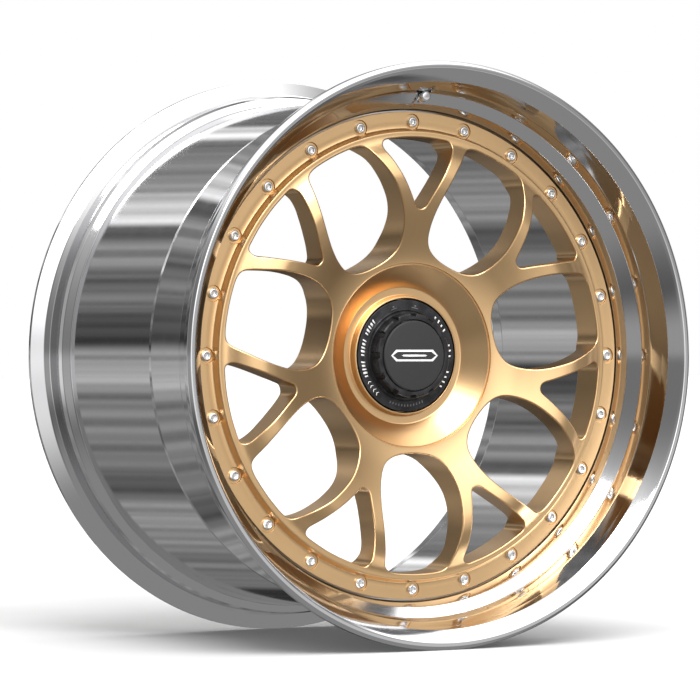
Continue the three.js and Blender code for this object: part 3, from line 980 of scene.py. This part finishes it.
def printed(shapes, depth, thickness=0.06):
    """Thin printed marks: each shape is a closed loop of plane points, raised a little
    from a flat face that looks outboard."""
    parts = []
    for loop in shapes:
        loop = np.array(loop, float)
        n = len(loop)
        faces = np.array(delaunay_2d_cdt(loop.tolist(), [], [list(range(n))], 1, 1e-6)[2], int)
        faces = faces.reshape(-1, 3)
        front = np.tile([0.0, -1.0, 0.0], (n, 1))
        parts.append((in_space(loop, depth - thickness), faces, front))
        parts.append((in_space(loop, depth - 0.005), faces, -front))
        side = np.concatenate([in_space(loop, depth - thickness), in_space(loop, depth - 0.005)])
        out = side - side.mean(0)
        out[:, 1] = 0
        out /= np.linalg.norm(out, axis=1)[:, None]
        parts.append((side, grid_faces(2, n), out))
    return joined(parts)


def on_arc(shape, radius, angle, slant=0.0):
    """A small flat shape, drawn about its own middle, set on a circle at an angle: across
    runs along the circle and up runs outward."""
    p = np.array(shape, float)
    a = angle + (p[:, 0] + slant * p[:, 1]) / radius
    r = radius + p[:, 1]
    return np.column_stack([r * np.sin(a), r * np.cos(a)])


def bar(width, height):
    w, h = width / 2, height / 2
    return [(-w, -h), (0, -h), (w, -h), (w, h), (0, h), (-w, h)]


def chevron(width, height, stroke):
    w, h, s = width / 2, height / 2, stroke
    return [(-w, -h), (-w + s, -h), (w, 0), (-w + s, h), (-w, h), (w - s, 0)]


def collar_marks():
    """Plain marks on the nut's collar in place of words: blocks of slanted bars for the two
    turning directions with chevrons at their ends, and tick marks between."""
    shapes = []
    for k in range(17):
        if k in (5, 11):
            continue
        angle = math.radians(246 + 4.1 * k)
        tall = 4.2 if k % 3 else 3.4
        shapes.append(on_arc(bar(1.9 if k % 2 else 1.3, tall), 47.3, angle, 0.18))
    for k in range(4):
        shapes.append(on_arc(chevron(2.2, 4.0, 0.8), 47.3, math.radians(222 + 5.4 * k)))
    for k in range(15):
        if k in (4, 5, 9, 10):
            continue
        angle = math.radians(42 + 6.1 * k)
        shapes.append(on_arc(bar(1.5, 3.2 if k % 2 else 2.2), 47.6, angle, -0.2))
    return shapes


def pale_marks():
    """Small ticks at the top and bottom of the collar, printed in grey."""
    shapes = [on_arc(bar(1.0, 2.4), 46.6, math.radians(158 + 4.0 * k), 0.1) for k in range(12)]
    for at in (-17, 12):
        shapes.append(on_arc(bar(7.0, 0.7), 45.6, math.radians(at)))
        shapes.append(on_arc(bar(1.6, 1.6), 47.4, math.radians(at)))
    return shapes


def cap_emblem():
    """A plain long six-sided frame with a bar inside it."""
    outer = [(-25.5, 0), (-20, 5.4), (20, 5.4), (25.5, 0), (20, -5.4), (-20, -5.4)]
    inner = [(x * 0.925, y * 0.66) for x, y in outer]
    shapes = []
    for i in range(6):
        j = (i + 1) % 6
        shapes.append([outer[i], outer[j], inner[j], inner[i]])
    shapes.append([(-12, -0.9), (12, -0.9), (14, 0), (12, 0.9), (-12, 0.9), (-14, 0)])
    return shapes


class WHEEL_OT_centre_lock(bpy.types.Operator):
    """Builds the centre lock: thrust ring, castellated nut with its marks, sleeve, spring
    and retaining ring"""

    bl_idname = "wheel.centre_lock"
    bl_label = "Centre Lock"

    def execute(self, context):
        s = context.scene.wheel_lock
        black = dark_coating("black_anodising", tuple(s.black), (0.045, 0.045, 0.048), 0.55,
                             0.36, 90, 0.14)
        ink = matte("mark_ink", tuple(s.ink), 0.6, 600)
        pale = matte("mark_grey", (0.16, 0.16, 0.165), 0.6, 600)
        ring = [(41.2, 24.4, 0.4), (51, 24.4, 0.3), (51, 26.9, 0.3), (43.5, 34.4, 0.4),
                (41.2, 34.4, 0.4)]
        add_piece("taper_ring", turned_surface(ring, 240), dark_steel(), "thrust",
                  ["thrust_ring"])
        nut = [(34, 44, 0.6), (40.4, 44, 0.8), (40.4, 24, 0.3), (52.5, 24, 0.4),
               (52.5, 11.1, 0.7), (43.6, 11.1, 0.3), (43.2, 10.4, 0.3), (42.4, 10.4, 0.3),
               (42.0, 11.1, 0.3), (39.6, 11.1, 0.6), (39.6, -1.4, 0.9), (38.4, -2.6, 0.8),
               (34.0, -2.6, 0.4), (33.6, -2.2, 0.2), (33.6, 3.4, 0.2), (31, 3.4, 0.2),
               (31, 27, 0.2), (26.6, 27, 0.3), (26.6, 30, 0.3), (34, 30, 0.2)]

        def castellated(r, y, a):
            part = TURN / SLOTS_IN_NUT
            off = np.abs((a + part / 2) % part - part / 2) * 39.6
            slot = np.clip((3.4 - off) / 0.8, 0, 1)
            slot = slot * slot * (3 - 2 * slot)
            face = (y > -3) & (y < 7.5) & (r > 36.6)
            return np.where(face, r - (r - 36.6) * 0.92 * slot, r), y

        add_piece("lock_nut", small_turned(nut, 576, (0, 0), castellated, 20), black, "nut",
                  ["centre_nut"], 28)
        add_piece("collar_marks", printed(collar_marks(), 11.1), ink, "nut")
        add_piece("collar_ticks", printed(pale_marks(), 11.1), pale, "nut")
        sleeve = [(23, 4.4, 0.5), (30.4, 4.4, 0.6), (30.4, 12.4, 0.4), (25.4, 12.4, 0.3),
                  (25.4, 15, 0.3), (23, 15, 0.4)]

        def splined(r, y, a):
            teeth = 0.5 + 0.5 * np.cos(a * 36)
            return np.where(r < 23.3, r + 0.8 * teeth, r), y

        add_piece("lock_collar", small_turned(sleeve, 288, (0, 0), splined), dark_steel(),
                  "sleeve", ["lock_sleeve"], 35)
        clip = [(29.4, 1.8, 0.15), (33, 1.8, 0.15), (33, 3, 0.15), (29.4, 3, 0.15)]

        def gapped(r, y, a):
            near_gap = np.clip((np.abs((a % TURN) - math.pi) - 0.10) / 0.02, 0, 1)
            return np.where(r > 31, 29.9 + (r - 29.9) * (0.25 + 0.75 * near_gap), r), y

        add_piece("snap_ring", small_turned(clip, 240, (0, 0), gapped), spring_steel(), "nut",
                  ["retaining_ring"], 35)
        add_piece("coil_spring", coil(28.7, 0.9, 20.0, 25.6, 2.0), spring_steel(), "nut",
                  ["lock_spring"])
        return {"FINISHED"}


def coil(radius, wire_radius, start, end, turns):
    """A round wire along a helix about the axis: its middle runs at one radius while its
    depth rises evenly, and the wire's circle stands across it. Both ends are closed."""
    along = np.linspace(0, 1, int(turns * COIL_STEPS) + 1)
    a = TURN * turns * along
    round_wire = np.arange(WIRE_SIDES) * TURN / WIRE_SIDES
    size = np.full(len(along), wire_radius)
    size = np.concatenate([[0.0], size, [0.0]])
    a = np.concatenate([a[:1], a, a[-1:]])
    depth = start + (end - start) * np.concatenate([[0], along, [1]])
    r = radius + size[:, None] * np.cos(round_wire)[None, :]
    y = depth[:, None] + size[:, None] * np.sin(round_wire)[None, :]
    place = np.stack([r * np.sin(a)[:, None] * MM, y * MM + SEAT_Y,
                      r * np.cos(a)[:, None] * MM + WHEEL_CENTRE_Z], -1)
    normal = np.stack([np.cos(round_wire)[None] * np.sin(a)[:, None],
                       np.sin(round_wire)[None] + 0 * a[:, None],
                       np.cos(round_wire)[None] * np.cos(a)[:, None]], -1)
    faces = grid_faces(len(a), len(round_wire))
    return joined([(place.reshape(-1, 3), faces, normal.reshape(-1, 3))], grain=2e-8)


class WHEEL_OT_centre_cap(bpy.types.Operator):
    """Builds the centre cap with its plain emblem and its rubber ring"""

    bl_idname = "wheel.centre_cap"
    bl_label = "Centre Cap"

    def execute(self, context):
        s = context.scene.wheel_lock
        cap = [(0, -4.0, 0), (31.6, -4.0, 0.5), (32.8, -3.1, 0.5), (32.8, -1.6, 0.2),
               (31, -1.6, 0.2), (31, 0, 0.2), (32.6, 0, 0.2), (32.6, 1, 0.3), (28.6, 1, 0.4),
               (28.6, -1, 0.4), (0, -1, 0)]
        finish = matte("moulded_plastic", tuple(s.cap), 0.55, 1500, 0.25)
        ink = kept("mark_ink", lambda: matte("mark_ink", tuple(s.ink), 0.6, 600))
        add_piece("hub_cap", small_turned(cap, 240, (0, 0)), finish, "cap", ["centre_cap"],
                  30)
        add_piece("cap_emblem", printed(cap_emblem(), -4.0), ink, "cap")
        ring = [(31.35, -1.35, 0.45), (32.9, -1.35, 0.45), (32.9, -0.25, 0.45),
                (31.35, -0.25, 0.45)]
        add_piece("cap_ring", turned_surface(ring, 180), rubber(), "cap", ["cap_o_ring"])
        return {"FINISHED"}


# ---- Valve ---------------------------------------------------------------


class WHEEL_OT_valve(bpy.types.Operator):
    """Builds the tyre valve in the lip's step: stem, gasket, nut, core, pin, cap and seal"""

    bl_idname = "wheel.valve"
    bl_label = "Tyre Valve"

    def execute(self, context):
        at = (0, 241.4)
        stem = [(1.9, -21.5, 0.2), (3.3, -21.5, 0.2), (4, -20.8, 0.3), (4, -7.4, 0.3),
                (6.4, -7.4, 0.6), (6.4, -4.6, 0.8), (1.9, -4.6, 0.3)]

        def threaded(r, y, a):
            turns = np.cos((y / 0.8 - a / TURN) * TURN)
            outside = (r > 3.8) & (r < 4.1) & (y < -10.5) & (y > -20.7)
            return np.where(outside, r - 0.12 + 0.12 * turns, r), y

        nut = [(4.35, -17.6, 0.2), (5.7, -17.6, 0.4), (6.1, -17.1, 0.3), (6.1, -15.35, 0.2),
               (4.35, -15.35, 0.2)]

        def hexagon(r, y, a):
            return np.where(r > 5.4, r * flats(a, 6), r), y

        cap = [(0, -25.6, 0), (3.7, -25.6, 0.8), (5.1, -24.5, 0.5), (5.35, -18.8, 0.2),
               (5.35, -18.0, 0.2), (4.35, -18.0, 0.2), (4.35, -23.6, 0.2), (0, -23.6, 0)]

        def knurled(r, y, a):
            side = (r > 5.0) & (y > -24.4) & (y < -18.6)
            return np.where(side, r - 0.16 * (0.5 + 0.5 * np.cos(a * 20)), r), y

        rows = [("valve_body", stem, threaded, chrome(), "wheel", "valve_stem", "chrome"),
                ("valve_hex", nut, hexagon, chrome(), "wheel", "valve_nut", "chrome"),
                ("valve_dust_cap", cap, knurled, chrome(), "valve_cap", "valve_cap", "chrome"),
                ("valve_washer", [(4.3, -9.65, 0.3), (5.8, -9.65, 0.5), (5.8, -7.75, 0.5),
                                  (4.3, -7.75, 0.3)], None, rubber(), "wheel",
                 "valve_gasket", "seal_rubber"),
                ("valve_insert", [(0.95, -20.6, 0.1), (1.55, -20.6, 0.1), (1.55, -9, 0.1),
                                  (0.95, -9, 0.1)], None, steel(), "wheel", "valve_core",
                 "bolt_steel"),
                ("valve_needle", [(0, -21.2, 0), (0.4, -21.2, 0.1), (0.55, -21.0, 0.1),
                                  (0.55, -7, 0.1), (0, -7, 0)], None, steel(), "valve_pin",
                 "valve_pin", "bolt_steel"),
                ("cap_gasket", [(2.4, -23.2, 0.2), (4, -23.2, 0.2), (4, -22, 0.2),
                                (2.4, -22, 0.2)], None, rubber(), "valve_cap_seal",
                 "cap_seal", "seal_rubber")]
        for name, section, shape, finish, body, replaced, slot in rows:
            surface = small_turned(section, 120, at, shape, 20)
            add_piece(name, surface, finish, body, [replaced], 32)
        return {"FINISHED"}


# ---- Stage ---------------------------------------------------------------


# What the metal reflects from behind the wheel: brightness by the angle round the wheel's
# axis, counted in degrees from the right-hand side over the top.
BACK_BANDS = [(0, 0.26), (46, 0.17), (53, 0.2), (56, 1.0), (65, 1.1), (67.5, 0.18), (86, 0.3),
              (102, 0.36), (105, 0.85), (110, 0.7), (118, 1.1), (121, 0.1), (126, 0.13),
              (130, 0.36), (141, 0.3), (146, 0.12), (156, 0.24), (164, 0.1), (175, 0.05),
              (178, 0.32), (192, 0.55), (196, 0.5), (197, 0.1), (200, 0.28), (228, 0.24),
              (236, 0.13), (245, 0.12), (250, 0.33), (272, 0.32), (276, 0.22), (308, 0.2),
              (314, 0.03)]

# Darker parts of the studio in front, and its soft panels: the direction, the angles within
# which each is full and beyond which it is gone, and how much it takes away or adds.
GREY_SIDES = [((0.95, -0.1, 0.0), 28, 46, 0.7), ((-0.88, -0.45, 0.0), 16, 42, 0.62),
              ((0.5, -0.86, 0.0), 8, 28, 0.32)]
SOFT_PANELS = [((0.1, -0.88, 0.44), 10, 34, 2.0), ((0.5, -0.19, 0.84), 8, 24, 1.5)]


class Sky:
    """The studio around the wheel, as brightness over direction: it is what the metal
    reflects. To the camera it is plain white."""

    def __init__(self, world):
        self.tree = world.node_tree
        where = self.add("ShaderNodeTexCoord")
        self.direction = where.outputs["Generated"]
        self.x, self.y, self.z = self.split(self.direction)

    def add(self, kind, **settings):
        made = self.tree.nodes.new(kind)
        for key, value in settings.items():
            setattr(made, key, value)
        return made

    def split(self, vector):
        parts = self.add("ShaderNodeSeparateXYZ")
        self.tree.links.new(vector, parts.inputs[0])
        return parts.outputs

    def math(self, operation, *values):
        made = self.add("ShaderNodeMath", operation=operation)
        for socket, value in zip(made.inputs, values):
            if isinstance(value, bpy.types.NodeSocket):
                self.tree.links.new(value, socket)
            else:
                socket.default_value = value
        return made.outputs[0]

    def rise(self, value, start, end, low, high):
        """low before start, high after end, and a smooth step between."""
        made = self.add("ShaderNodeMapRange", interpolation_type="SMOOTHSTEP")
        for name, number in (("From Min", start), ("From Max", end), ("To Min", low),
                             ("To Max", high)):
            made.inputs[name].default_value = number
        self.tree.links.new(value, made.inputs["Value"])
        return made.outputs["Result"]

    def panel(self, towards, inner_deg, outer_deg, brightness):
        """A round soft panel in one direction, full within the inner angle."""
        made = self.add("ShaderNodeVectorMath", operation="DOT_PRODUCT")
        self.tree.links.new(self.direction, made.inputs[0])
        made.inputs[1].default_value = Vector(towards).normalized()
        return self.rise(made.outputs["Value"], math.cos(math.radians(outer_deg)),
                         math.cos(math.radians(inner_deg)), 0.0, brightness)

    def behind(self):
        """Upright light and dark bands round the axis, broken by fine streaks."""
        angle = self.math("FRACT", self.math("MULTIPLY",
                                             self.math("ARCTAN2", self.z, self.x), 1 / TURN))
        ramp = self.add("ShaderNodeValToRGB")
        stops = ramp.color_ramp.elements
        for degrees, light in BACK_BANDS[1:-1]:
            stops.new(degrees / 360).color = (light, light, light, 1)
        stops[0].color = (*[BACK_BANDS[0][1]] * 3, 1)
        stops[-1].position = BACK_BANDS[-1][0] / 360
        stops[-1].color = (*[BACK_BANDS[-1][1]] * 3, 1)
        self.tree.links.new(angle, ramp.inputs[0])
        streaks = self.add("ShaderNodeTexNoise", noise_dimensions="1D")
        streaks.inputs["Scale"].default_value = 90
        streaks.inputs["Detail"].default_value = 3
        self.tree.links.new(angle, streaks.inputs["W"])
        broken = self.rise(streaks.outputs["Fac"], 0.3, 0.7, 0.65, 1.35)
        return self.math("MULTIPLY", ramp.outputs["Color"], broken)

    def ahead(self):
        """A pale floor at the horizon, darker nearer by, a grey wall with its darker
        sides, and the soft panels above the camera."""
        wall = self.rise(self.z, -0.03, 0.04, 0.0, -0.45)
        near_floor = self.rise(self.z, -0.34, -0.12, 0.3, 1.0)
        wall = self.math("ADD", wall, near_floor)
        wall = self.math("ADD", wall, self.rise(self.z, 0.5, 0.9, 0.0, 0.9))
        for towards, inner, outer, depth in GREY_SIDES:
            shade = self.panel(towards, inner, outer, depth)
            wall = self.math("MULTIPLY", wall, self.math("SUBTRACT", 1.0, shade))
        for towards, inner, outer, brightness in SOFT_PANELS:
            wall = self.math("ADD", wall, self.panel(towards, inner, outer, brightness))
        return wall

    def finish(self):
        tree = self.tree
        light = self.add("ShaderNodeMix", data_type="FLOAT")
        for value, socket in ((self.rise(self.y, 0.15, 0.6, 0.0, 1.0), "Factor"),
                              (self.ahead(), "A"), (self.behind(), "B")):
            tree.links.new(value, light.inputs[socket])
        path = self.add("ShaderNodeLightPath")
        seen = self.add("ShaderNodeMix", data_type="FLOAT")
        seen.inputs["B"].default_value = 1.0
        tree.links.new(path.outputs["Is Camera Ray"], seen.inputs["Factor"])
        tree.links.new(light.outputs["Result"], seen.inputs["A"])
        tree.links.new(seen.outputs["Result"], tree.nodes["Background"].inputs["Strength"])


CAMERA_PLACE = (-1.8762, -3.2046, 0.0052)
CAMERA_AIM = (0.5033, 0.8641, 0.0)
KEY_AIM = (0.25, 0.62, -0.8)
KEY_ANGLE_DEG = 38
FLOOR_SIZE = 30.0


class WHEEL_OT_stage(bpy.types.Operator):
    """Sets the camera, the pale floor, the soft studio light and its reflections"""

    bl_idname = "wheel.stage"
    bl_label = "Stage"

    def execute(self, context):
        s = context.scene.wheel_studio
        self.camera(context, s)
        self.floor(context, s)
        self.key_light(context, s)
        world = bpy.data.worlds.new("studio")
        context.scene.world = world
        world.use_nodes = True
        world.node_tree.nodes["Background"].inputs["Color"].default_value = (1, 1, 1, 1)
        Sky(world).finish()
        context.scene.view_settings.view_transform = "Standard"
        return {"FINISHED"}

    def camera(self, context, s):
        data = bpy.data.cameras.new("camera")
        data.lens = s.focal
        data.clip_end = 50
        camera = bpy.data.objects.new("camera", data)
        context.scene.collection.objects.link(camera)
        camera.location = CAMERA_PLACE
        aim = Vector(CAMERA_AIM)
        camera.rotation_euler = aim.to_track_quat("-Z", "Y").to_euler()
        context.scene.camera = camera

    def floor(self, context, s):
        size = FLOOR_SIZE
        mesh = bpy.data.meshes.new("floor")
        mesh.from_pydata([(-size, -size, FLOOR_Z), (size, -size, FLOOR_Z),
                          (size, size, FLOOR_Z), (-size, size, FLOOR_Z)], [], [(0, 1, 2, 3)])
        floor = bpy.data.objects.new("floor", mesh)
        context.scene.collection.objects.link(floor)
        mesh.materials.append(matte("floor_white", tuple(s.floor), 0.9, 2, 0.0))
        floor.visible_glossy = False

    def key_light(self, context, s):
        """A wide soft light from above, left of the camera."""
        data = bpy.data.lights.new("key", "SUN")
        data.energy = s.key
        data.angle = math.radians(KEY_ANGLE_DEG)
        light = bpy.data.objects.new("key", data)
        context.scene.collection.objects.link(light)
        aim = Vector(KEY_AIM)
        light.rotation_euler = aim.to_track_quat("-Z", "Y").to_euler()


# ---- Add-on --------------------------------------------------------------


class WHEEL_PT_panel(bpy.types.Panel):
    """Lists the wheel's pieces and the stage"""

    bl_label = "Forged Wheel"
    bl_idname = "WHEEL_PT_panel"
    bl_space_type = "VIEW_3D"
    bl_region_type = "UI"
    bl_category = "Wheel"

    def draw(self, context):
        for group in ("wheel_centre", "wheel_rim", "wheel_fasteners", "wheel_lock",
                      "wheel_studio"):
            box = self.layout.box()
            settings = getattr(context.scene, group)
            for name in settings.bl_rna.properties.keys():
                if name not in ("rna_type", "name"):
                    box.prop(settings, name)
        for operator in OPERATORS:
            self.layout.operator(operator.bl_idname)


SETTINGS = {
    "wheel_centre": CentreSettings,
    "wheel_rim": RimSettings,
    "wheel_fasteners": FastenerSettings,
    "wheel_lock": LockSettings,
    "wheel_studio": StudioSettings,
}
OPERATORS = (WHEEL_OT_centre, WHEEL_OT_outer_lip, WHEEL_OT_inner_barrel, WHEEL_OT_joint_seal,
             WHEEL_OT_fasteners, WHEEL_OT_drive_bushes, WHEEL_OT_centre_lock,
             WHEEL_OT_centre_cap, WHEEL_OT_valve, WHEEL_OT_stage)


def register():
    for cls in (*SETTINGS.values(), *OPERATORS, WHEEL_PT_panel):
        bpy.utils.register_class(cls)
    for name, cls in SETTINGS.items():
        setattr(bpy.types.Scene, name, PointerProperty(type=cls))


def unregister():
    for name in SETTINGS:
        delattr(bpy.types.Scene, name)
    for cls in (WHEEL_PT_panel, *reversed(OPERATORS), *reversed(SETTINGS.values())):
        bpy.utils.unregister_class(cls)


def main():
    """Registers the add-on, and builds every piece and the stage."""
    register()
    bpy.ops.wheel.centre()
    bpy.ops.wheel.outer_lip()
    bpy.ops.wheel.inner_barrel()
    bpy.ops.wheel.joint_seal()
    bpy.ops.wheel.fasteners()
    bpy.ops.wheel.drive_bushes()
    bpy.ops.wheel.centre_lock()
    bpy.ops.wheel.centre_cap()
    bpy.ops.wheel.valve()
    bpy.ops.wheel.stage()


if __name__ == "__main__":
    main()
